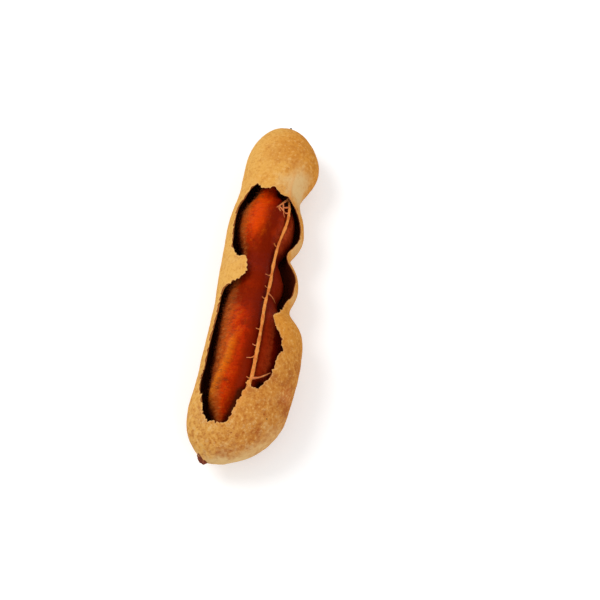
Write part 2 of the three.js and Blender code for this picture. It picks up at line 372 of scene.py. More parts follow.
# the husk: a brittle shell with its upper side broken away
husk = {
    "rings": 330, "columns": 216, "innerRings": 130, "innerColumns": 92,
    "patchTurn": 84, "patchFrom": 0.05, "patchTo": 0.81,      # the part meshed round the broken edge
    "unroll": 13.0,                                  # millimetres per radian of turn, in the flat plan
    "rimStep": 0.22, "crumble": 0.12, "seed": 4,
    "chipLength": (0.3, 1.2), "chipDepth": (-0.46, 0.42),
    "steepLeft": 0.8, "steepRight": 0.1,             # how much deeper the chips are on the flanks
    "rugged": 0.95, "ruggedSwing": 0.6, "ruggedPace": 0.02,       # some stretches break cleaner
    "undercut": 0.30, "backSwing": 0.6, "backPace": 0.07,         # how far the inner edge stands back
    "thinning": 0.50, "thinReach": 2.4,              # the wall thins towards the broken edge
    "swell": 0.22, "swellSize": 13.0,
    "grain": 0.055, "fineSize": 1.3, "coarseSize": 3.6, "coarseShare": 1.3,
    "crumbs": 0.12, "crumbSize": 1.1, "crumbReach": 0.8, "crumbSink": 0.03,  # beside the broken edge
    "inside": 0.08, "insideSize": 2.2,                                       # the inner skin's own grain
    # wrinkles that gather towards the stalk
    "pleats": 9, "pleatRise": 0.32, "pleatFrom": 3.6, "pleatReach": 2.6, "pleatWander": 2.5, "pleatSize": 5.0,
    # the broken wall's rings: how far in, and a seed
    "wallRings": [(0.34, 11), (0.68, 12)], "wallRough": 0.09, "wallSize": 0.7,
    "crispFrom": 38,                                              # degrees past which an edge stays crisp
    # the broken edge as along, degrees of turn from the top
    "opening": [
        (0.187, 8), (0.155, 6), (0.130, 2), (0.105, 1), (0.084, -2), (0.076, -8), (0.076, -22), (0.084, -32),
        (0.105, -40), (0.145, -49), (0.168, -58), (0.195, -61), (0.225, -59), (0.310, -60), (0.380, -59.5),
        (0.428, -59.5), (0.450, -55.5), (0.462, -46), (0.472, -35), (0.483, -23), (0.500, -16), (0.520, -15),
        (0.540, -19), (0.544, -29), (0.558, -39), (0.590, -49.5), (0.630, -52), (0.665, -54.5), (0.708, -55),
        (0.732, -48), (0.755, -43), (0.771, -36), (0.774, -28), (0.763, -19), (0.763, -10), (0.770, 2),
        (0.756, 12), (0.750, 29), (0.741, 39), (0.704, 59), (0.670, 70), (0.638, 72), (0.609, 65.5),
        (0.586, 62.5), (0.562, 57.5), (0.541, 64), (0.524, 73), (0.500, 68.5), (0.477, 69.5), (0.456, 61),
        (0.432, 50), (0.400, 32), (0.378, 23.5), (0.350, 28), (0.315, 37), (0.290, 40), (0.272, 36),
        (0.240, 33), (0.210, 30.5), (0.190, 27), (0.170, 18), (0.176, 12)],
}


# the veins under the skin show as low ridges: along, degrees of turn from the top
huskRidges = {
    "lines": [[(0.205, 9.5), (0.185, 8.5), (0.155, 7), (0.130, 4.5), (0.105, 2.5), (0.082, 0.5)],
              [(0.725, 37), (0.750, 34), (0.785, 31), (0.830, 27)]],
    "rise": 0.28, "half": 0.75,
}


def ridgeMark(along, turn):
    place = flatPlan(along, turn)
    mark = np.zeros(len(along))
    for line in huskRidges["lines"]:
        path = smoothCurve(line, 12)
        spots = flatPlan(path[:, 0], np.radians(path[:, 1]))
        for spot, strength in zip(spots, np.linspace(1.0, 0.15, len(spots))):
            near = np.exp(-np.sum((place - spot) ** 2, axis=1) / huskRidges["half"] ** 2)
            mark = np.maximum(mark, near * strength)
    return mark


def flatPlan(along, turn):
    return np.stack((turn * husk["unroll"], along * podForm["length"]), -1)


def fromPlan(plan):
    return plan[:, 1] / podForm["length"], plan[:, 0] / husk["unroll"]


# the outer and inner broken edges in the flat plan, point for point
def brokenEdges():
    rng = random.Random(husk["seed"])
    knots = [(turn / 180, along) for along, turn in husk["opening"]]
    curve = smoothCurve(knots, 6, closed=True)
    smooth = evenly(flatPlan(curve[:, 1], curve[:, 0] * math.pi), husk["rimStep"], closed=True)
    ahead, behind = np.roll(smooth, -2, axis=0), np.roll(smooth, 2, axis=0)
    heading = ahead - behind
    heading /= np.linalg.norm(heading, axis=1, keepdims=True)
    solidward = np.stack((-heading[:, 1], heading[:, 0]), -1)
    # angular chips: straight flakes between random break points
    count = len(smooth)
    breaks, depths, at = [], [], 0.0
    while at < count - 1:
        swing = noise.noise(Vector((at * husk["ruggedPace"], 7.7, 2.1)))
        rugged = husk["rugged"] + husk["ruggedSwing"] * swing
        breaks.append(at)
        lean = math.sin(smooth[int(at), 0] / husk["unroll"])
        steep = 1.0 + husk["steepLeft" if lean < 0 else "steepRight"] * lean**2
        depths.append(rugged * steep * rng.uniform(*husk["chipDepth"]))
        at += rng.uniform(*husk["chipLength"]) / husk["rimStep"]
    breaks.append(float(count))
    depths.append(depths[0])
    chips = np.interp(np.arange(count), breaks, depths)
    chips += np.array([rng.uniform(-1, 1) for _ in range(count)]) * husk["crumble"]
    waver = np.array([noise.noise(Vector((k * husk["backPace"], 3.3, 1.7))) for k in range(count)])
    back = husk["undercut"] * (1.0 + husk["backSwing"] * waver)
    return untangled(smooth, solidward, chips), untangled(smooth, solidward, back)


# moves each point of a loop sideways, less wherever that would make the loop cross itself
def untangled(loop, sideways, offsets):
    offsets = offsets.copy()
    tries, easing = 30, 0.8
    for _ in range(tries):
        moved = loop + sideways * offsets[:, None]
        ahead = np.roll(moved, -1, axis=0)
        turnOf = lambda a, b, p: ((b[:, None, 0] - a[:, None, 0]) * (p[None, :, 1] - a[:, None, 1])
                                  - (b[:, None, 1] - a[:, None, 1]) * (p[None, :, 0] - a[:, None, 0]))
        here, there = turnOf(moved, ahead, moved), turnOf(moved, ahead, ahead)
        crossing = (here * there < 0) & (here * there < 0).T
        apart = np.abs(np.arange(len(loop))[:, None] - np.arange(len(loop))[None, :])
        crossing &= (apart > 1) & (apart < len(loop) - 1)
        bad = np.flatnonzero(crossing.any(axis=1))
        if not len(bad):
            break
        for k in bad:
            offsets[np.arange(k - 2, k + 3) % len(loop)] *= easing
    return moved


def insideLoop(points, loop):
    x, y = points[:, 0], points[:, 1]
    inside = np.zeros(len(points), bool)
    for (ax, ay), (bx, by) in zip(loop, np.roll(loop, -1, axis=0)):
        crosses = (ay > y) != (by > y)
        if crosses.any():
            inside ^= crosses & (x < (bx - ax) * (y - ay) / (by - ay + 1e-12) + ax)
    return inside


# how far points of the flat plan are from a loop's points
def gapsTo(loop, points):
    tree = kdtree.KDTree(len(loop))
    for k, p in enumerate(loop):
        tree.insert((*p, 0), k)
    tree.balance()
    return np.array([tree.find((*p, 0))[2] for p in points])


# one sheet of the husk as a flat plan: places, faces and the numbers of the edge's own points
def brokenSheet(rim, rings, columns, inset):
    ends = [podForm["from"] + inset / podForm["length"], podForm["to"] - inset / podForm["length"]]
    alongs = ends[0] + (ends[1] - ends[0]) * ringShare(rings)[1:-1]
    turns = -math.pi + 2 * math.pi * np.arange(columns) / columns
    grid = flatPlan(*[g.ravel() for g in np.meshgrid(alongs, turns, indexing="ij")])
    number = lambda i, j: i * columns + j % columns
    reach = math.radians(husk["patchTurn"])
    left, right = [int(n) for n in np.searchsorted(turns, (-reach, reach))]
    low, high = [int(n) for n in np.searchsorted(alongs, (husk["patchFrom"], husk["patchTo"]))]
    last = len(alongs) - 1
    faces = [(number(i, j), number(i, j + 1), number(i + 1, j + 1), number(i + 1, j))
             for i in range(last) for j in range(columns) if not (low <= i < high and left <= j < right)]
    # the patch is meshed again, from the grid's points that are clear of the edge and the edge's own
    patch = [number(i, j) for i in range(low, high + 1) for j in range(left, right + 1)]
    border = {number(i, j) for i in (low, high) for j in range(left, right + 1)}
    border |= {number(i, j) for i in range(low, high + 1) for j in (left, right)}
    cell = min(2 * math.pi / columns * husk["unroll"], podForm["length"] / rings)
    clear = (gapsTo(rim, grid[patch]) > 0.5 * cell) & ~insideLoop(grid[patch], rim)
    kept = [n for n, free in zip(patch, clear) if n in border or free]
    rimNumbers = list(range(len(grid), len(grid) + len(rim)))
    source = kept + rimNumbers
    coords = [Vector(grid[n]) for n in kept] + [Vector(p) for p in rim]
    rimLinks = [(len(kept) + k, len(kept) + (k + 1) % len(rim)) for k in range(len(rim))]
    found, _, triangles, origin, _, _ = delaunay_2d_cdt(coords, rimLinks, [], 0, 1e-7)
    if any(len(o) != 1 for o in origin) or len(found) != len(coords):
        raise RuntimeError("the broken edge crosses itself: make its chips shallower")
    toPlan = [source[o[0]] for o in origin]
    middles = np.array([np.mean([found[v] for v in tri], axis=0) for tri in triangles])
    inHole = insideLoop(middles, rim)
    faces += [tuple(toPlan[v] for v in tri) for tri, gone in zip(triangles, inHole) if not gone]
    first = rimNumbers[-1] + 1       # the two ends' own points come last
    for j in range(columns):
        faces.append((first, number(0, j + 1), number(0, j)))
        faces.append((first + 1, number(last, j), number(last, j + 1)))
    return np.vstack((grid, rim, flatPlan(np.array(ends), np.zeros(2)))), faces, rimNumbers


# leaves out the points that no face uses
def packed(plan, faces, rimNumbers):
    used = sorted({v for face in faces for v in face})
    renamed = {v: k for k, v in enumerate(used)}
    return plan[used], [tuple(renamed[v] for v in face) for face in faces], [renamed[v] for v in rimNumbers]


def buildHusk(material):
    rimOut, rimIn = brokenEdges()
    outer, outerFaces, outerRim = packed(*brokenSheet(rimOut, husk["rings"], husk["columns"], 0.0))
    inner, innerFaces, innerRim = packed(
        *brokenSheet(rimIn, husk["innerRings"], husk["innerColumns"], podForm["wall"]))
    along, turn = fromPlan(outer)
    points = neckLift(skin(podForm, along, turn))
    rimGap, innerGap = gapsTo(rimOut, outer), gapsTo(rimOut, inner)
    swell = lumps(points, husk["swellSize"], 1) * husk["swell"]
    coarse = lumps(points, husk["coarseSize"], 7, 2) * husk["coarseShare"]
    relief = (lumps(points, husk["fineSize"], 2, 3) + coarse) * husk["grain"]
    crumbs = husk["crumbs"] * lumps(points, husk["crumbSize"], 5) - husk["crumbSink"]
    crumbs = bell(rimGap, husk["crumbReach"]) * crumbs
    fromNeck = np.linalg.norm(points - neckAt, axis=1)
    spin = np.arctan2(points[:, 2] - neckAt[2], points[:, 0] - neckAt[0])
    pleat = np.sin(spin * husk["pleats"] + husk["pleatWander"] * lumps(points, husk["pleatSize"], 3))
    pleat *= bell(fromNeck - husk["pleatFrom"], husk["pleatReach"]) * husk["pleatRise"]
    ridge = ridgeMark(along, turn)
    lifted = swell + relief + pleat + crumbs + ridge * huskRidges["rise"]
    points = points + outward(podForm, along, turn) * lifted[:, None]
    points[:, 2] = np.maximum(points[:, 2], 0.0)
    innerAlong, innerTurn = fromPlan(inner)
    innerPoints = skin(podForm, innerAlong, innerTurn, podForm["wall"])
    thinner = husk["thinning"] * bell(innerGap, husk["thinReach"])
    innerLift = (lumps(innerPoints, husk["swellSize"], 1) * husk["swell"]
                 + lumps(innerPoints, husk["insideSize"], 8) * husk["inside"] + thinner)
    innerPoints += outward(podForm, innerAlong, innerTurn, podForm["wall"]) * innerLift[:, None]
    # two rough rings between the sheets make the broken wall
    outRing, inRing = points[outerRim], innerPoints[innerRim]
    walls = []
    for share, seed in husk["wallRings"]:
        ring = outRing + (inRing - outRing) * share
        rough = np.stack([lumps(ring, husk["wallSize"], seed + k) for k in (0, 20, 40)], -1)
        walls.append(ring + rough * husk["wallRough"])
    count, start = len(outRing), len(points)
    innerStart = start + 2 * count
    everything = np.vstack((points, *walls, innerPoints))
    loops = [outerRim, list(range(start, start + count)), list(range(start + count, innerStart)),
             [innerStart + v for v in innerRim]]
    faces = outerFaces + [tuple(innerStart + v for v in reversed(face)) for face in innerFaces]
    for upper, lower in zip(loops, loops[1:]):
        faces += [(upper[k - count + 1], upper[k], lower[k], lower[k - count + 1]) for k in range(count)]
    wallTurn = fromPlan(rimOut)[1]
    marks = {
        "depth": np.repeat((0.0, 0.5, 0.8, 1.0), (start, count, count, len(inner))),
        "rimGap": np.concatenate((rimGap, np.zeros(2 * count), innerGap)),
        "ridge": np.concatenate((ridge, np.zeros(len(everything) - start))),
        "side": np.sin(np.concatenate((turn, wallTurn, wallTurn, innerTurn))),
    }
    return makePiece("huskShell", everything, faces, material, marks, husk["crispFrom"])


huskColours = {
    "light": tone(229, 174, 88), "warm": tone(220, 146, 54), "deep": tone(178, 100, 34),
    "lower": tone(198, 128, 58), "bloom": tone(228, 188, 128), "speck": tone(158, 72, 26),
    "dark": tone(84, 44, 22), "pale": tone(236, 184, 110),
    # inside is painted shade on the hidden inner side; insideLight is painted light there, and a grain tone
    # on the broken wall
    "broken": tone(236, 184, 124), "inside": tone(98, 34, 12), "insideLight": tone(172, 104, 50),
    "ridge": tone(226, 142, 64), "wall": tone(140, 76, 32), "russet": tone(200, 100, 42),
}
bloomSpots = [  # x, y, z in the form's millimetres, reach, strength
    (10.6, 33.5, 14.5, 9.5, 1.5), (13.0, 14.6, 13.0, 5.0, 0.8), (14.4, -3.6, 14.0, 4.5, 0.7),
    (1.0, -58.0, 9.0, 8.0, 1.1), (15.3, -51.0, 10.0, 11.0, 0.6), (4.0, -57.0, 8.0, 9.0, 1.3),
    (8.5, -54.5, 12.0, 7.0, 0.9),
]


def paintHusk():
    c = huskColours
    fixed = {"IOR": 1.42, "Specular IOR Level": 0.10, "Specular Tint": (1.0, 0.8, 0.55, 1.0)}
    paint = Paint("huskPaint", fixed, c)
    side, depth, rimGap = paint.mark("side"), paint.mark("depth"), paint.mark("rimGap")
    y = paint.lengthways()
    stalkward, stalkEnd = y.eased(-0.010, -0.040), y.eased(-0.036, -0.052)
    patches = paint.cloud(8, 2.0, 3, 0.6)
    mottle = paint.cloud(2.4, 3.0, 4, 0.65)
    flecks = paint.cloud(1.9, 13.0, 4, 0.7)
    grain = paint.cloud(1.0, 4.0, 3, 0.7)
    scurf = paint.cloud(0.55, 5.0, 2, 0.6)
    specks = paint.cells(1.7, 7.0).eased(0.26, 0.12) * paint.cloud(3.2, 8.0, 2).eased(0.50, 0.62)
    pits = paint.cells(7.5, 9.0).eased(0.050, 0.030)
    # random tone plus painted shade: by side, the right of the husk is made warmer and darker than the left
    warmthAndSideShade = (paint.cloud(30, 1.0, 2) - 0.5) * 1.2 + (patches - 0.5) + side * 0.50 + 0.55
    blotched = patches.eased(0.35, 0.6)
    tipPatch = paint.away(6.0, 43.0, 19.0).eased(0.011, 0.003) * blotched
    redPatch = paint.cloud(4.5, 6.0, 3, 0.65).eased(0.48, 0.66) * stalkward
    redSpot = paint.away(18.0, -37.5, 17.5).eased(0.0050, 0.0010) * blotched
    bloom = paint.cloud(9, 10.0, 3, 0.6).eased(0.52, 0.70) * 0.16
    for px, py, pz, reach, strength in bloomSpots:
        ragged = (patches - 0.5) * (reach * 1.5 * mm) + (mottle - 0.5) * (reach * 0.6 * mm)
        bloom = bloom + (paint.away(px, py, pz) + ragged).eased(reach * mm, reach * 0.2 * mm) * strength
    base = paint.layered(
        paint.blend(warmthAndSideShade.eased(0.0, 1.0), c["light"], c["warm"]),
        # the lower tone towards the stalk, laid on thicker to the right as painted shade
        (stalkward * (0.45 + side * 0.35), "lower"),
        # broader brown mottling, strongest on the stalk's half
        (mottle.eased(0.48, 0.70) * (0.34 + stalkward * 0.30), "deep"),
        (tipPatch * 0.40, "deep"),
        # red patches near the stalk, also laid on thicker to the right as painted shade
        (redPatch * (0.42 + side * 0.30), "speck"),
        (redSpot * 0.5, "russet"),
        # fine scurf: pale and dark grains side by side
        (grain.eased(0.51, 0.68) * 0.62, "pale"),
        (grain.eased(0.49, 0.32) * (0.50 + stalkward * 0.25), "deep"),
        (scurf.eased(0.56, 0.76) * 0.35, "pale"),
        (specks * (0.35 + stalkward * 0.45), "speck"),
        (pits * 0.75, "dark"),
        # coarser flecks round the stalk's end
        (flecks.eased(0.52, 0.64) * stalkEnd * 0.50, "speck"),
        (flecks.eased(0.47, 0.36) * stalkEnd * 0.45, "bloom"),
        # dusty bloom, thickest in the notches and round the stalk
        (bloom * (0.35 + mottle * 0.9) * (0.5 + grain * 0.9), "bloom"),
        (rimGap.eased(0.34, 0.02) * 0.4, "broken"),
        (paint.mark("ridge") * 0.85, "ridge"))
    # the broken wall and the inner side; the inner side is painted dark brown as shade, with painted light
    # (lit) near the broken edge on its left
    fibres = paint.cloud(1.2, 12.0, 3, 0.6, paint.stretched(1.0, 0.25, 1.0))
    leftward = side.eased(0.1, -0.7)
    lit = rimGap.eased(2.6, 0.3) * leftward * (0.5 + fibres) + fibres.eased(0.5, 0.72) * 0.3 * leftward
    broken = paint.blend(grain.eased(0.4, 0.6), c["broken"], c["deep"])
    colour = paint.blend(depth.eased(0.02, 0.18), base, broken)
    wall = paint.blend(grain.eased(0.45, 0.65), c["wall"], c["insideLight"])
    colour = paint.blend(depth.eased(0.16, 0.45), colour, wall)
    colour = paint.blend(depth.eased(0.70, 0.95), colour, paint.blend(lit, c["inside"], c["insideLight"]))
    rough = 0.9 - patches * 0.10 + grain * 0.06 - depth.eased(0.85, 1.0) * 0.2
    bumps = paint.height(grain * 0.9 + mottle * 0.6 + scurf * 0.4 - specks * 0.35 - pits * 0.5, 0.26)
    return paint.feed(Base_Color=colour, Roughness=rough, Normal=bumps)


huskShell = buildHusk(paintHusk())
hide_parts("shell")
print("tamarind pod: husk made,", len(huskShell.data.polygons), "faces")


# the main vein's middle line in the form's millimetres, stalk end first
strand = {
    "line": [(7.6, -46.0, 22.6), (7.1, -41.8, 23.1), (6.8, -38.3, 22.9), (7.2, -35, 22.8), (7.3, -26.7, 22.9),
             (7.2, -18.4, 22.5), (6.8, -10.2, 21.2), (6.9, -2, 19.0), (6.7, 6, 17.9), (7.0, 13.8, 16.8),
             (8.3, 21.4, 16.9), (8.2, 26.4, 16.0), (7.1, 32.4, 14.4), (6.4, 40, 16.3)],
    # share of its run, half width
    "wide": [(0.0, 0.3), (0.05, 0.7), (0.09, 0.90), (0.13, 0.62), (0.35, 0.50), (0.7, 0.42), (0.9, 0.42),
             (1.0, 0.30)],
    "step": 0.00035, "flat": 0.6, "knots": 0.8, "sides": 14, "seed": 2.0,
}

# the sticky pulp, lobed over the seeds that it covers
pulp = {
    "rings": 300, "columns": 210,
    "swell": 0.35, "swellSize": 9.0, "wrinkle": 0.20, "wrinkleSize": 6.0, "fibre": 0.05,
    "ripplePace": 1.15, "rippleWander": 3.0, "rippleSize": 8.0, "fine": 0.07, "fineSize": 2.4,
    "upperFrom": 9.0, "upperReach": 4.0,                          # heights where the upper side begins
    "baldAt": -42.0, "baldReach": 5.0, "fewest": 0.15,            # fewer hairs towards the stalk's end
    # beside the vein: place, half width, depth or rise
    "furrow": (-0.2, 1.1, 0.55), "bank": (-2.4, 1.3, 0.30),
    # the necks mark where shade is painted between the seeds
    "necks": (0.435, 0.505, 0.575), "neckReach": 4.5,         # places along it that are darker
    # long soft folds: places in x and y, half width, rise
    "folds": [
        ([(-0.7, -21.0), (-1.0, -27.0), (-1.5, -31.0), (-2.5, -34.5), (-3.5, -38.0), (-4.2, -42.0),
          (-4.2, -46.5)], 1.25, 0.8),
        ([(4.8, -20.0), (5.0, -25.0), (4.4, -29.5), (3.7, -33.6), (3.1, -37.7), (2.2, -42.0),
          (1.0, -46.0)], 1.7, -0.55),
        ([(-1.5, 29.0), (-0.5, 23.0), (-1.0, 16.0)], 2.2, 0.35),
    ],
    # where it sinks away under the husk: x, y, reach, depth
    "hollows": [(5.4, 33.2, 2.8, 2.2), (6.8, 27.9, 1.7, 1.3), (-5.6, 31.6, 2.6, 0.7),
                (10.8, -36.4, 2.3, 1.7)],
}
# a row of them follows the edge under the vein's foot
pulp["hollows"] += [(4.7 - 0.33 * k - 0.03 * k**2, -40.0 - 1.4 * k, 2.2, 0.30) for k in range(8)]


# how close points lie to a line of places seen from above, fading at its ends
def besideLine(points, line, half):
    path = evenly(smoothCurve(line, 10), 0.7)
    fade = np.clip(np.sin(np.linspace(0.12, math.pi - 0.12, len(path))) * 2.2, 0, 1)
    near = np.zeros(len(points))
    for spot, strength in zip(path, fade):
        gap = (points[:, 0] - spot[0]) ** 2 + (points[:, 1] - spot[1]) ** 2
        near = np.maximum(near, np.exp(-gap / half ** 2) * strength)
    return near


def buildPulp(material):
    rings, columns = pulp["rings"], pulp["columns"]
    alongs = pulpForm["from"] + (pulpForm["to"] - pulpForm["from"]) * ringShare(rings)
    turns = -math.pi + 2 * math.pi * np.arange(columns) / columns
    along, turn = [g.ravel() for g in np.meshgrid(alongs[1:-1], turns, indexing="ij")]
    along = np.concatenate((along, alongs[[0, -1]]))
    turn = np.concatenate((turn, [0.0, 0.0]))
    points = skin(pulpForm, along, turn)
    swell = lumps(points, pulp["swellSize"], 21) * pulp["swell"]
    # shallow rings of wrinkles, broken up by noise, and fine cross fibres
    wander = pulp["rippleWander"] * lumps(points, pulp["rippleSize"], 22)
    ripple = np.sin(points[:, 1] * pulp["ripplePace"] + wander)
    wrinkle = np.abs(ripple) ** 0.7 * lumps(points, pulp["wrinkleSize"], 23) * pulp["wrinkle"]
    fibre = lumps(points * np.array((0.45, 1.9, 0.45)), 1.0, 24, 2) * pulp["fibre"]
    lifted = swell + wrinkle + fibre + lumps(points, pulp["fineSize"], 25) * pulp["fine"]
    # a furrow beside the main vein, with a low bank to its left
    vein = smoothCurve(strand["line"], 8)
    besideVein = points[:, 0] - np.interp(points[:, 1], vein[:, 1], vein[:, 0])
    over = np.clip((points[:, 2] - pulp["upperFrom"]) / pulp["upperReach"], 0, 1)
    spot, half, deep = pulp["furrow"]
    lifted -= over * deep * bell(besideVein - spot, half)
    spot, half, rise = pulp["bank"]
    lifted += over * rise * bell(besideVein - spot, half)
    crest, valley, sunk = np.zeros((3, len(points)))
    for line, half, rise in pulp["folds"]:
        near = besideLine(points, line, half) * over
        lifted += rise * near
        crest = np.maximum(crest, near * (rise > 0))
        valley = np.maximum(valley, near * (rise < 0))
    for x, y, reach, deep in pulp["hollows"]:
        near = over * np.exp(-((points[:, 0] - x) ** 2 + (points[:, 1] - y) ** 2) / reach ** 2)
        lifted -= near * deep
        sunk = np.maximum(sunk, near)
    points = points + outward(pulpForm, along, turn) * lifted[:, None]
    number = lambda i, j: i * columns + j % columns
    last = rings - 2
    faces = [(number(i, j), number(i, j + 1), number(i + 1, j + 1), number(i + 1, j))
             for i in range(last) for j in range(columns)]
    ends = (last + 1) * columns
    faces += [(ends, number(0, j + 1), number(0, j)) for j in range(columns)]
    faces += [(ends + 1, number(last, j), number(last, j + 1)) for j in range(columns)]
    necks = sum(bell((along - spot) * pulpForm["length"], pulp["neckReach"]) for spot in pulp["necks"])
    leftFlank = np.clip((-np.sin(turn) - 0.35) / 0.45, 0, 1) * np.clip(np.cos(turn) * 4 + 1.0, 0, 1)
    hairier = np.clip((points[:, 1] - pulp["baldAt"]) / pulp["baldReach"], 0, 1)
    hairier = pulp["fewest"] + (1 - pulp["fewest"]) * hairier
    marks = {"crown": np.cos(turn), "side": np.sin(turn), "veinGap": besideVein, "neck": np.clip(necks, 0, 1),
             "crest": crest, "valley": valley, "sunk": sunk, "hairy": hairier * leftFlank}
    return makePiece("stickyPulp", points, faces, material, marks)


# the rim tone is a painted sheen at the right lobes' edge; the glow, gold and ember tones are painted
# highlights; the flank and deep tones are painted shade
pulpColours = {
    "flankShade": tone(92, 22, 5), "haze": tone(170, 80, 26), "orange": tone(210, 80, 4), "red": tone(192, 42, 0),
    "crimson": tone(174, 34, 0), "maroon": tone(112, 15, 0), "lobe": tone(158, 40, 6),
    "rim": tone(188, 70, 30), "deep": tone(50, 6, 1), "litGlow": tone(224, 98, 6), "goldHighlight": tone(238, 130, 24),
    "emberHighlight": tone(232, 74, 2), "pale": tone(208, 122, 60),
}
# the pulp's colours across it, by millimetres from the main vein, negative to its left: partly its own reds,
# partly painted light and shade, lit orange on the left falling to shaded maroon on the right, with a painted
# sheen (rim) at the right lobes' edge
pulpToneAndShadeBands = [(-14.0, "orange"), (-11.0, "orange"), (-8.0, "red"), (-4.9, "crimson"), (-2.4, "maroon"),
             (-0.5, "maroon"), (1.5, "lobe"), (3.8, "rim"), (4.6, "maroon")]


def paintPulp():
    c = pulpColours
    fixed = {"IOR": 1.44, "Subsurface Weight": 0.08, "Subsurface Radius": (1.0, 0.15, 0.03),
             "Subsurface Scale": 0.0010, "Specular IOR Level": 0.28, "Specular Tint": (1.0, 0.26, 0.03, 1.0)}
    paint = Paint("pulpPaint", fixed, c)
    crown, side, gap, crest = [paint.mark(name) for name in ("crown", "side", "veinGap", "crest")]
    y = paint.lengthways()
    wander = (paint.cloud(9, 31.0, 3, 0.55) - 0.5) * 3.4 + (paint.cloud(2.2, 35.0, 4, 0.65) - 0.5) * 3.2
    # millimetres that the red reaches further in the last lobe
    redder = y.eased(0.004, 0.016) * y.eased(0.030, 0.020) * 3.0
    start, end = pulpToneAndShadeBands[0][0], pulpToneAndShadeBands[-1][0]
    across = (gap + wander + redder - start) / (end - start)
    stops = [((spot - start) / (end - start), c[name]) for spot, name in pulpToneAndShadeBands]
    clouds = paint.cloud(4.2, 33.0, 4, 0.6)
    flecks = paint.cloud(1.7, 36.0, 4, 0.7, paint.stretched(1.0, 0.7, 1.0))
    streaks = paint.cloud(1.1, 32.0, 4, 0.65, paint.stretched(0.5, 2.0, 0.5))
    motes = paint.cloud(0.8, 34.0, 3, 0.7)
    leftward, rightOfVein = (gap + redder).eased(-4.2, -9.0), gap.eased(0.3, 1.2)
    leftFlank = side.eased(-0.2, -0.5)
    hazy = leftFlank * crown.eased(0.86, 0.66)
    goldHighlightShare = y.eased(0.002, -0.012) * (0.35 + y.eased(-0.043, -0.037) * 0.65)
    base = paint.layered(
        paint.node("ShaderNodeValToRGB", {"stops": stops}, {0: across}, "Color"),
        # right of the vein: painted shade towards the stalk, painted light (rim tone) towards the tip
        (rightOfVein * y.eased(-0.008, -0.022) * 0.5, "maroon"),
        (rightOfVein * y.eased(0.010, 0.018) * 0.5, "rim"),
        # painted highlight: bright orange mottles in the glow tone, only left of the vein where the light
        # falls; the maroon mottles are the pulp's own
        (clouds.eased(0.50, 0.68) * 0.50 * leftward, "litGlow"),
        (clouds.eased(0.50, 0.33) * 0.62, "maroon"),
        (flecks.eased(0.52, 0.66) * 0.40 * gap.eased(-3.0, -8.0), "litGlow"),
        (flecks.eased(0.48, 0.35) * 0.42, "maroon"),
        (streaks.eased(0.52, 0.70) * 0.32 * leftward, "litGlow"),
        (streaks.eased(0.48, 0.32) * 0.42, "maroon"),
        (motes.eased(0.53, 0.70) * 0.36 * gap.eased(-2.5, -8.0), "litGlow"),
        (motes.eased(0.47, 0.33) * 0.50, "maroon"),
        # painted shade: the necks between the seeds and the valleys between the folds are darker
        (paint.mark("neck") * 0.8, "maroon"),
        (paint.mark("valley") * 0.6, "maroon"),
        # the left flank is hazy with broken fibres, then falls into shade
        (hazy * (0.35 + streaks * 0.6), "haze"),
        (hazy * streaks.eased(0.50, 0.66) * 0.60, "pale"),
        (leftFlank * (crown + (streaks - 0.5) * 0.5).eased(0.70, 0.28) * 0.92, "flankShade"),
        # painted highlight on the folds' crests, gold towards the stalk and ember towards the tip
        (crest * goldHighlightShare * (0.26 + streaks * 0.6), "goldHighlight"),
        (crest * y.eased(0.004, 0.016) * (0.30 + streaks * 0.6), "emberHighlight"),
        # shade in the hollows, in the furrow beside the vein and low on both sides
        (paint.mark("sunk").eased(0.30, 0.85) * 0.92, "deep"),
        (gap.eased(-2.2, -0.4) * gap.eased(1.4, 0.2) * 0.25, "deep"),
        (crown.eased(0.15, -0.4) * 0.9, "flankShade"))
    rough = 0.42 + hazy * 0.3 + streaks * 0.14 + clouds * 0.08
    bumps = paint.height(streaks * 0.5 + clouds * 0.4 + motes * 0.4 + flecks * 0.5, 0.40)
    return paint.feed(Base_Color=base, Roughness=rough, Normal=bumps)


stickyPulp = buildPulp(paintPulp())
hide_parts("pulp")
print("tamarind pod: pulp made,", len(stickyPulp.data.polygons), "faces")


# the vein, its side fibres and the hairs are made with Geometry Nodes; inputs are names and kinds of socket
def newTree(name, inputs):
    tree = bpy.data.node_groups.new(name, "GeometryNodeTree")
    tree.interface.new_socket("Geometry", in_out="INPUT", socket_type="NodeSocketGeometry")
    tree.interface.new_socket("Geometry", in_out="OUTPUT", socket_type="NodeSocketGeometry")
    for label, kind in inputs.items():
        tree.interface.new_socket(label, in_out="INPUT", socket_type="NodeSocket" + kind)
    bench = Bench(tree)
    return bench, bench.node("NodeGroupInput")


# runs a tree on the data and gives the finished mesh back
def plainMesh(name, data, bench, values):
    carrier = placed(name + "Carrier", data)
    modifier = carrier.modifiers.new(name, "NODES")
    modifier.node_group = bench.tree
    for item in bench.tree.interface.items_tree:
        if item.in_out == "INPUT" and item.name in values:
            modifier[item.identifier] = values[item.name]
    bpy.context.view_layer.update()
    holder = carrier.evaluated_get(bpy.context.evaluated_depsgraph_get())
    mesh = bpy.data.meshes.new_from_object(holder)
    carrier.modifiers.remove(modifier)
    bpy.data.objects.remove(carrier)
    mesh.name = name
    return mesh


def closeTree(bench, flow, entry):
    flow = bench.node("GeometryNodeSetShadeSmooth", None, {"Geometry": flow})
    flow = bench.node("GeometryNodeRealizeInstances", None, {"Geometry": flow})
    flow = bench.node("GeometryNodeSetMaterial", None,
                      {"Geometry": flow, "Material": entry.other("Material")})
    bench.node("NodeGroupOutput", None, {"Geometry": flow})


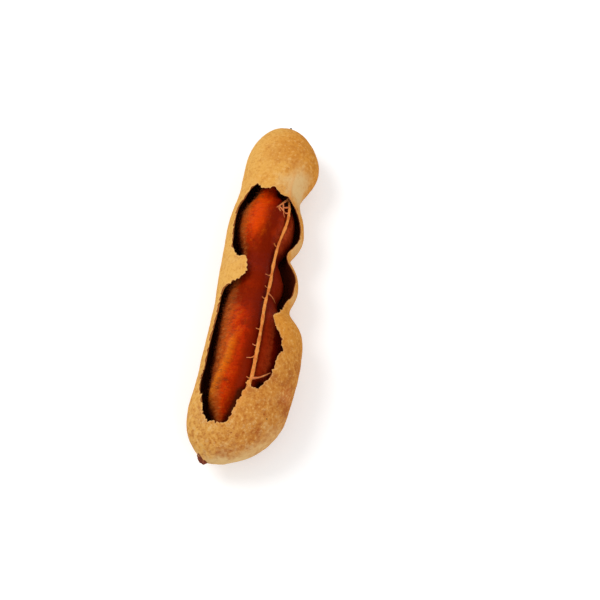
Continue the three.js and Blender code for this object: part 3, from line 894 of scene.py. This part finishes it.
# a flattened, slightly knotted cord along every spline; its radius comes from the spline's points
def cordTree():
    bench, entry = newTree("veinCords", {"Step": "Float", "Flatness": "Float", "Knots": "Float",
                                         "Sides": "Int", "Seed": "Float", "Material": "Material"})
    path = bench.node("GeometryNodeResampleCurve", {"mode": "LENGTH"},
                      {"Curve": entry.other("Geometry"), "Length": entry.other("Step")})
    path = bench.node("GeometryNodeSetCurveNormal", {"mode": "Z_UP"}, {"Curve": path})
    knots = bench.node("ShaderNodeTexNoise", {"noise_dimensions": "4D"},
                       {"Vector": bench.node("GeometryNodeInputPosition"), "W": entry.other("Seed"),
                        "Scale": 420.0, "Detail": 2.0})
    swollen = bench.node("GeometryNodeInputRadius") * (1.0 + (knots - 0.5) * entry.other("Knots"))
    ring = bench.node("GeometryNodeCurvePrimitiveCircle", None, {"Resolution": entry.other("Sides")}, "Curve")
    shape = bench.node("ShaderNodeCombineXYZ", None, {"X": 1.0, "Y": entry.other("Flatness"), "Z": 1.0})
    ring = bench.node("GeometryNodeTransform", None, {"Geometry": ring, "Scale": shape})
    path = bench.node("GeometryNodeSetCurveRadius", None, {"Curve": path, "Radius": swollen})
    # the knots count once more in the scale, so they stand out
    closeTree(bench, bench.node("GeometryNodeCurveToMesh", None, {
        "Curve": path, "Profile Curve": ring, "Scale": swollen, "Fill Caps": True}), entry)
    return bench


# runs is a list of points and radii, both in millimetres; cord is a piece's own dictionary
def cordMesh(name, runs, cord, material):
    data = bpy.data.curves.new(name + "Paths", "CURVE")
    data.dimensions = "3D"
    for points, radii in runs:
        spline = data.splines.new("POLY")
        spline.points.add(len(points) - 1)
        for knot, p, r in zip(spline.points, inFrame(points), radii):
            knot.co = (*p, 1.0)
            knot.radius = r * mm
    return plainMesh(name, data, veinCords, {
        "Step": cord["step"], "Flatness": cord["flat"], "Knots": cord["knots"], "Sides": cord["sides"],
        "Seed": cord["seed"], "Material": material})


sideVeins = {
    "radius": 0.2,
    "runs": [  # y where one leaves the vein, then its run in x, y and z
        (-35.0, -1.6, 0.2, 0.1), (-27.6, -2.8, -1.3, 0.2), (-24.6, -1.8, 0.2, 0.1), (-18.0, -1.6, -0.3, 0.1),
        (-7.1, -1.5, 0.1, 0.1), (-5.1, 2.4, -0.8, -1.2), (-2.8, -1.4, 0.1, 0.1), (2.4, -1.7, -1.1, 0.1),
        (12.8, -1.4, 0.1, 0.1), (25.9, -2.8, -1.2, 0.1)],
    # threads that span a gap: x, y and z, then the half width at each end
    "bridges": [
        ([(7.2, -35.3, 22.8), (9.0, -34.7, 22.5), (10.5, -33.7, 21.9), (12.3, -31.8, 20.6)], 0.36, 0.24),
    ],
    # the small net of fibres beside the vein's upper end, in the same way
    "net": [
        ([(7.4, 31.6, 14.7), (6.4, 29.5, 16.0), (5.8, 28.3, 16.9), (5.1, 27.1, 17.5), (4.3, 25.8, 18.1)],
         0.44, 0.22),
        ([(4.8, 26.7, 17.6), (5.9, 25.8, 17.4), (6.6, 25.2, 17.0), (7.4, 25.0, 16.6), (8.2, 25.4, 16.2)],
         0.30, 0.28),
        ([(5.9, 28.3, 16.9), (6.2, 26.8, 16.9), (6.6, 25.3, 17.0)], 0.24, 0.22),
        ([(6.2, 26.8, 16.9), (6.9, 27.0, 16.5), (8.0, 27.9, 15.7)], 0.22, 0.26),
        ([(6.6, 25.2, 17.0), (6.7, 24.2, 17.1), (7.2, 23.1, 17.2)], 0.20, 0.10),
        ([(4.8, 26.7, 17.6), (5.1, 25.5, 17.8), (5.7, 24.7, 17.8)], 0.26, 0.12),
    ],
    "lift": 0.10, "step": 0.0002, "flat": 0.9, "knots": 0.8, "sides": 8, "seed": 5.0,
}

fibreColours = {
    "base": tone(224, 134, 58), "light": tone(246, 178, 100), "red": tone(190, 82, 28),
    "pink": tone(214, 118, 72),
}


def paintFibre(name, base, light, red):
    fixed = {"IOR": 1.45, "Subsurface Weight": 0.15, "Subsurface Radius": (1.0, 0.4, 0.15),
             "Subsurface Scale": 0.0006, "Specular IOR Level": 0.25, "Specular Tint": (1.0, 0.7, 0.45, 1.0)}
    paint = Paint(name, fixed)
    threads = paint.cloud(0.5, 41.0, 3, 0.6, paint.stretched(2.2, 0.35, 2.2))
    blotch = paint.cloud(2.6, 42.0, 3, 0.6)
    colour = paint.blend(threads.eased(0.45, 0.7) * 0.7, base, light)
    colour = paint.blend(blotch.eased(0.54, 0.36) * 0.6, colour, red)
    return paint.feed(Base_Color=colour, Roughness=0.5 + threads * 0.2, Normal=paint.height(threads, 0.12))


fibrePaint = paintFibre("fibrePaint", fibreColours["base"], fibreColours["light"], fibreColours["red"])
threadPaint = paintFibre("threadPaint", fibreColours["pink"], fibreColours["light"], fibreColours["base"])
veinLine = smoothCurve(strand["line"], 10)
veinRadii = np.interp(np.linspace(0, 1, len(veinLine)), *zip(*strand["wide"]))
veinCords = cordTree()
veinMesh = cordMesh("mainVein", [(veinLine, veinRadii)], strand, fibrePaint)
mainVein = finishPiece("mainVein", veinMesh, fibrePaint)
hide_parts("fibre_strand")
pulpTree = BVHTree.FromPolygons([v.co for v in stickyPulp.data.vertices],
                                [tuple(p.vertices) for p in stickyPulp.data.polygons])


# the lowest that a thread may lie over a place: just clear of the pulp, in the form's own millimetres
def threadFloor(x, y):
    above, default = 60.0, 10.0
    hit = pulpTree.ray_cast(Vector(inFrame((x, y, above))), Vector((0, 0, -1)))[0]
    return (hit.z / mm if hit else default) + sideVeins["lift"]


runs = []
for y, dx, dy, dz in sideVeins["runs"]:
    root = veinLine[np.argmin(np.abs(veinLine[:, 1] - y))]
    tip = root + np.array((dx, dy, dz))
    bow = (root + tip) / 2 + np.array((0, 0.15 * dx, 0.0))
    path = smoothCurve([root, bow, tip], 8)
    for p, share in zip(path, np.linspace(0, 1, len(path)) ** 0.7):
        p[2] += (threadFloor(p[0], p[1]) - p[2]) * share
    runs.append((path, sideVeins["radius"] * np.linspace(1.3, 0.5, len(path))))
for places, firstHalf, lastHalf in sideVeins["bridges"] + sideVeins["net"]:
    path = smoothCurve(places, 8)
    path[:, 2] = [max(threadFloor(x, y), z) for x, y, z in path]
    runs.append((path, np.linspace(firstHalf, lastHalf, len(path))))
threadMesh = cordMesh("sideThreads", runs, sideVeins, threadPaint)
sideThreads = finishPiece("sideThreads", threadMesh, threadPaint)
print("tamarind pod: vein and side fibres made,", len(veinMesh.polygons) + len(threadMesh.polygons), "faces")


# the stalk stub and the dried point at the tip
point = {
    "foot": (2.9, 57.6, 10.7), "end": (3.1, 60.0, 11.2), "footRadius": 0.9, "endRadius": 0.28,
    "rings": 12, "columns": 16, "rough": 0.06, "ragged": 0.15, "seed": 63,
}


# what the stub's and the point's bark share, sizes in millimetres
pegBark = {"size": 1.3, "ribs": 7, "ribShare": 0.35, "brokenFrom": 0.75, "brokenSize": 0.8,
           "capRings": 6, "crispFrom": 50}


def buildPeg(name, peg, material):
    foot, end = np.array(peg["foot"]), np.array(peg["end"])
    length = np.linalg.norm(end - foot)
    axis = (end - foot) / length
    across = np.cross(axis, (0, 0, 1.0))
    across /= np.linalg.norm(across)
    up = np.cross(across, axis)
    points, columns, rings, capRings = [], peg["columns"], peg["rings"], pegBark["capRings"]
    rows = rings + capRings
    for i in range(rows):
        t = min(1.0, i / rings)
        cap = max(0, i - rings) / capRings      # the last rings close the broken end
        radius = (peg["footRadius"] + (peg["endRadius"] - peg["footRadius"]) * t) * (1 - cap)
        for j in range(columns):
            a = 2 * math.pi * j / columns
            points.append(foot + (end - foot) * t + radius * (across * math.cos(a) + up * math.sin(a)))
    points = np.array(points + [end])
    ribs = np.append(np.tile(np.sin(np.arange(columns) / columns * 2 * math.pi * pegBark["ribs"]), rows), 0)
    radial = points - foot - np.outer((points - foot) @ axis, axis)
    radial /= np.maximum(np.linalg.norm(radial, axis=1, keepdims=True), 1e-6)
    bark = lumps(points, pegBark["size"], peg["seed"]) * peg["rough"]
    bark += ribs * peg["rough"] * pegBark["ribShare"]
    points += radial * bark[:, None]
    share = np.clip(((points - foot) @ axis) / length, 0, 1)
    broken = np.clip(share - pegBark["brokenFrom"], 0, 1) / (1 - pegBark["brokenFrom"])
    broken = broken * lumps(points, pegBark["brokenSize"], peg["seed"] + 1) * peg["ragged"]
    points += axis * broken[:, None]
    number = lambda i, j: i * columns + j % columns
    faces = [(number(i, j), number(i + 1, j), number(i + 1, j + 1), number(i, j + 1))
             for i in range(rows - 1) for j in range(columns)]
    faces += [(number(rows - 1, j), rows * columns, number(rows - 1, j + 1)) for j in range(columns)]
    faces.append(tuple(number(0, j) for j in range(columns)))
    return makePiece(name, points, faces, material, {}, pegBark["crispFrom"])


def paintStalk(name, dark, mid, light):
    paint = Paint(name, {"IOR": 1.45, "Specular IOR Level": 0.3})
    bark = paint.cloud(0.9, 51.0, 4, 0.65, paint.stretched(2.0, 0.6, 2.0))
    blotch = paint.cloud(2.0, 52.0, 3, 0.6)
    colour = paint.blend(bark.eased(0.40, 0.68), dark, mid)
    colour = paint.blend(blotch.eased(0.55, 0.75) * 0.6, colour, light)
    return paint.feed(Base_Color=colour, Roughness=0.72 + bark * 0.2, Normal=paint.height(bark, 0.3))


stalkPaint = paintStalk("stalkPaint", tone(98, 34, 14), tone(150, 70, 34), tone(190, 120, 70))
nibPaint = paintStalk("nibPaint", tone(74, 62, 50), tone(112, 98, 80), tone(140, 122, 96))
stalkStub = buildPeg("stalkStub", stub, stalkPaint)
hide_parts("stalk_stub")
tipPoint = buildPeg("tipPoint", point, nibPaint)
print("tamarind pod: stalk and tip made")

# short hairs on the pulp's flank
hairs = {
    "perSquareCentimetre": 300, "length": 0.0023, "radius": 0.000034, "seed": 3,
    "least": (-0.45, -0.45, -0.1), "most": (0.45, 0.45, 0.5),      # how far they stray from lying crosswise
}


def hairTree():
    bench, entry = newTree("pulpHairs", {"Density": "Float", "Hair length": "Float", "Hair radius": "Float",
                                         "Seed": "Int", "Material": "Material"})
    where = bench.node("GeometryNodeInputNamedAttribute", None, {"Name": "hairy"})
    seed, length = entry.other("Seed"), entry.other("Hair length")
    spread = bench.node("GeometryNodeDistributePointsOnFaces", None, {
        "Mesh": entry.other("Geometry"), "Density": where * entry.other("Density"), "Seed": seed})
    sideways = bench.node("ShaderNodeVectorMath", {"operation": "CROSS_PRODUCT"},
                          {0: spread.other("Normal"), 1: (0.0, 1.0, 0.0)})
    jitter = bench.node("FunctionNodeRandomValue", {"data_type": "FLOAT_VECTOR"},
                        {"Min": hairs["least"], "Max": hairs["most"], "Seed": seed})
    heading = bench.node("ShaderNodeVectorMath", {"operation": "ADD"}, {0: sideways, 1: jitter})
    rotation = bench.node("FunctionNodeAlignRotationToVector", {"axis": "X"}, {"Vector": heading})
    line = bench.node("GeometryNodeCurvePrimitiveBezierSegment", None, {
        "Resolution": 5, "Start": (-0.5, 0.0, 0.0), "Start Handle": (-0.2, 0.0, 0.10),
        "End Handle": (0.2, 0.06, 0.08), "End": (0.5, 0.10, 0.0)})
    scale = bench.node("ShaderNodeCombineXYZ", None, {"X": length, "Y": length, "Z": length})
    line = bench.node("GeometryNodeTransform", None, {"Geometry": line, "Scale": scale})
    ring = bench.node("GeometryNodeCurvePrimitiveCircle", None,
                      {"Resolution": 3, "Radius": entry.other("Hair radius")}, "Curve")
    hair = bench.node("GeometryNodeCurveToMesh", None,
                      {"Curve": line, "Profile Curve": ring, "Fill Caps": True})
    size = bench.node("FunctionNodeRandomValue", None, {"Min": 0.5, "Max": 1.35, "Seed": seed}, 1)
    closeTree(bench, bench.node("GeometryNodeInstanceOnPoints", None, {
        "Points": spread, "Instance": hair, "Rotation": rotation, "Scale": size}), entry)
    return bench


hairPaint = paintFibre("hairPaint", tone(150, 70, 28), tone(206, 128, 72), tone(80, 24, 8))
hairMesh = plainMesh("pulpHairs", stickyPulp.data.copy(), hairTree(),
                     {"Density": hairs["perSquareCentimetre"] * 1e4, "Hair length": hairs["length"],
                      "Hair radius": hairs["radius"], "Seed": hairs["seed"], "Material": hairPaint})
pulpHairs = finishPiece("pulpHairs", hairMesh, hairPaint)
print("tamarind pod: hairs made,", len(pulpHairs.data.polygons), "faces")

# floor, lamps, world and camera
studio = {
    "floorHalf": 3.0, "floorDrop": 0.0001, "floorColour": (0.80, 0.80, 0.80, 1.0), "floorLift": 0.34,
    "worldStrength": 0.60,
    "keyPower": 2.5, "keySize": 0.42, "keyFrom": (-0.42, 0.10, 0.62),
    "fillPower": 1.5, "fillSize": 0.7, "fillFrom": (0.5, -0.35, 0.5),
}


def buildStudio():
    half = studio["floorHalf"]
    mesh = bpy.data.meshes.new("studioFloor")
    corners = [(-half, -half, 0), (half, -half, 0), (half, half, 0), (-half, half, 0)]
    mesh.from_pydata(corners, [], [(0, 1, 2, 3)])
    floor = placed("studioFloor", mesh)
    floor.location.z = -studio["floorDrop"]         # just under the pod's flat
    paint = Paint("floorPaint", {"Base Color": studio["floorColour"], "Roughness": 0.9,
                                 "Specular IOR Level": 0.1, "Emission Strength": studio["floorLift"]})
    # seen by the camera, the floor is lifted to white and keeps its shadow
    seen = paint.node("ShaderNodeLightPath", None, None, "Is Camera Ray")
    mesh.materials.append(paint.feed(Emission_Color=paint.blend(seen, (0, 0, 0, 1), (1, 1, 1, 1))))
    world = bpy.data.worlds.new("studioWorld")
    bpy.context.scene.world = world
    world.use_nodes = True
    bench = Bench(world.node_tree)
    seen = bench.node("ShaderNodeLightPath", None, None, "Is Camera Ray")
    strength = seen * (1.0 - studio["worldStrength"]) + studio["worldStrength"]
    background = world.node_tree.nodes["Background"]
    background.inputs["Color"].default_value = (1, 1, 1, 1)
    world.node_tree.links.new(strength.socket, background.inputs["Strength"])


# back is the direction from what it looks at to the lamp or camera
def aimed(thing, spot, back):
    thing.location = spot
    thing.rotation_mode = "QUATERNION"
    thing.rotation_quaternion = back.to_track_quat("Z", "Y")
    return thing


def lamp(name, power, size, spot):
    data = bpy.data.lights.new(name, "AREA")
    data.energy = power
    data.shape = "DISK"
    data.size = size
    aimed(placed(name, data), spot, Vector(spot))


# away, aside and along are in lengths of the pod
view = {"azimuth": 9.4, "elevation": 64.0, "away": 3.99, "aside": 0.0965, "along": -0.0229, "lens": 92.0}


def buildCamera():
    span, middle = (cadHigh - cadLow).y, (cadLow + cadHigh) / 2
    azimuth, elevation = math.radians(view["azimuth"]), math.radians(view["elevation"])
    level = math.cos(elevation)
    back = Vector((math.sin(azimuth) * level, -math.cos(azimuth) * level, math.sin(elevation)))
    data = bpy.data.cameras.new("podCamera")
    data.lens = view["lens"]
    data.clip_start, data.clip_end = 0.01, 20.0
    spot = middle + Vector((view["aside"] * span, view["along"] * span, 0)) + back * (view["away"] * span)
    bpy.context.scene.camera = aimed(placed("podCamera", data), spot, back)


buildStudio()
lamp("keyLamp", studio["keyPower"], studio["keySize"], studio["keyFrom"])
lamp("fillLamp", studio["fillPower"], studio["fillSize"], studio["fillFrom"])
buildCamera()
bpy.context.scene.view_settings.view_transform = "Standard"
print("tamarind pod: studio ready")
